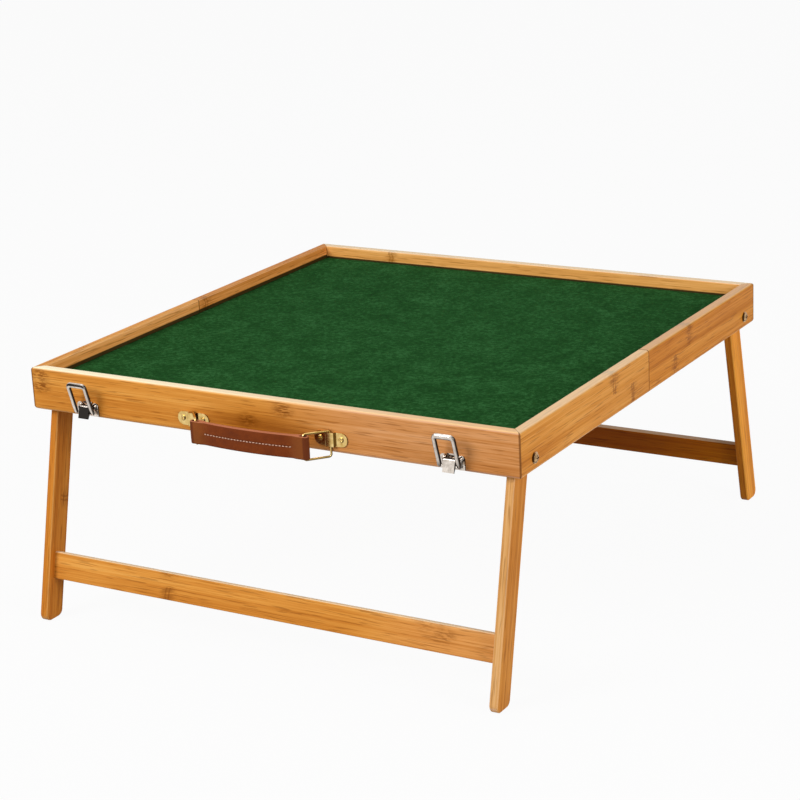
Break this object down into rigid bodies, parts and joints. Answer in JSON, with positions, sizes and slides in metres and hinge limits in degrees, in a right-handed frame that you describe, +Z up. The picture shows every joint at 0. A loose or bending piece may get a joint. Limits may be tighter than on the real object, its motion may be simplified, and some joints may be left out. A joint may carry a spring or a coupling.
{
  "type": "folding game table",
  "caption": "Low square table that folds at a hinged seam into a case: a sunken felt field in bamboo rails, folding leg frames, draw latches and a strap handle.",
  "frame": {"origin": "on the floor under the middle of the open table", "axes": "+X along the seam to the right as seen from the handle side, +Y to the rear, +Z up"},
  "size_m": [0.6072, 0.6824, 0.282],
  "materials": {
    "bamboo": "satin lacquer",
    "board": "plain",
    "felt": "matte nap",
    "leather": "satin",
    "brass": "polished",
    "nickel": "bright plate",
    "steel": "zinc plate"
  },
  "bodies": {
    "front_half": {"front_end_rail": "bamboo", "front_left_rail": "bamboo", "front_right_rail": "bamboo", "front_hinge_rail": "bamboo", "front_board": "board", "front_felt": "felt", "front_pivot_bolts": "steel", "front_pivot_washers": "steel", "front_pivot_nuts": "steel", "hinge_front_leaf_left": "brass", "hinge_front_leaf_right": "brass", "hinge_pin_left": "steel", "hinge_pin_right": "steel", "hinge_front_screws": "brass", "latch_base_left": "nickel", "latch_base_right": "nickel", "latch_pins": "nickel", "latch_screws": "nickel", "handle_saddle_left": "brass", "handle_saddle_right": "brass", "handle_screws": "brass"},
    "rear_half": {"rear_end_rail": "bamboo", "rear_left_rail": "bamboo", "rear_right_rail": "bamboo", "rear_hinge_rail": "bamboo", "rear_board": "board", "rear_felt": "felt", "rear_pivot_bolts": "steel", "rear_pivot_washers": "steel", "rear_pivot_nuts": "steel", "hinge_rear_leaf_left": "brass", "hinge_rear_leaf_right": "brass", "hinge_rear_screws": "brass", "catch_left": "nickel", "catch_right": "nickel", "catch_screws": "nickel"},
    "front_legs": {"front_left_leg": "bamboo", "front_right_leg": "bamboo", "front_stretcher": "bamboo"},
    "rear_legs": {"rear_left_leg": "bamboo", "rear_right_leg": "bamboo", "rear_stretcher": "bamboo"},
    "handle_strap": {"handle_strap": "leather"},
    "latch_lever_left": {"latch_lever_left": "nickel"},
    "latch_loop_left": {"latch_loop_left": "nickel"},
    "latch_lever_right": {"latch_lever_right": "nickel"},
    "latch_loop_right": {"latch_loop_right": "nickel"},
    "handle_ring_left": {"handle_ring_left": "brass"},
    "handle_ring_right": {"handle_ring_right": "brass"}
  },
  "joints": [
    {"name": "table_fold", "type": "hinge", "parent": "front_half", "child": "rear_half", "pos_m": [0, 0, 0.234], "axis": [-1, 0, 0], "range_deg": [0, 105]},
    {"name": "front_leg_fold", "type": "hinge", "parent": "front_half", "child": "front_legs", "pos_m": [0, -0.2705, 0.24805], "axis": [1, 0, 0], "range_deg": [0, 103.3]},
    {"name": "rear_leg_fold", "type": "hinge", "parent": "rear_half", "child": "rear_legs", "pos_m": [0, 0.2705, 0.24805], "axis": [-1, 0, 0], "range_deg": [0, 103.3]},
    {"name": "latch_lever_left_turn", "type": "hinge", "parent": "front_half", "child": "latch_lever_left", "pos_m": [-0.225, -0.305, 0.2465], "axis": [-1, 0, 0], "range_deg": [0, 160]},
    {"name": "latch_loop_left_swing", "type": "hinge", "parent": "latch_lever_left", "child": "latch_loop_left", "pos_m": [-0.225, -0.30713, 0.24086], "axis": [1, 0, 0], "range_deg": [0, 320]},
    {"name": "latch_lever_right_turn", "type": "hinge", "parent": "front_half", "child": "latch_lever_right", "pos_m": [0.225, -0.305, 0.2465], "axis": [-1, 0, 0], "range_deg": [0, 160]},
    {"name": "latch_loop_right_swing", "type": "hinge", "parent": "latch_lever_right", "child": "latch_loop_right", "pos_m": [0.225, -0.30713, 0.24086], "axis": [1, 0, 0], "range_deg": [0, 320]},
    {"name": "handle_pull", "type": "slide", "parent": "front_half", "child": "handle_strap", "axis": [0, -1, 0], "range_m": [-0.0015, 0.0015]},
    {"name": "handle_ring_left_swing", "type": "hinge", "parent": "front_half", "child": "handle_ring_left", "pos_m": [-0.085, -0.3015, 0.24445], "axis": [0, 0, -1], "range_deg": [-4.6, 4.6]},
    {"name": "handle_ring_right_swing", "type": "hinge", "parent": "front_half", "child": "handle_ring_right", "pos_m": [0.085, -0.3015, 0.24445], "axis": [0, 0, 1], "range_deg": [-4.6, 4.6]}
  ],
  "couplings": [
    {"joint": "latch_loop_left_swing", "follows": "latch_lever_left_turn", "ratio": 2},
    {"joint": "latch_loop_right_swing", "follows": "latch_lever_right_turn", "ratio": 2},
    {"joint": "handle_ring_left_swing", "follows": "handle_pull", "rad_per_m": 52.584},
    {"joint": "handle_ring_right_swing", "follows": "handle_pull", "rad_per_m": 52.584}
  ]
}
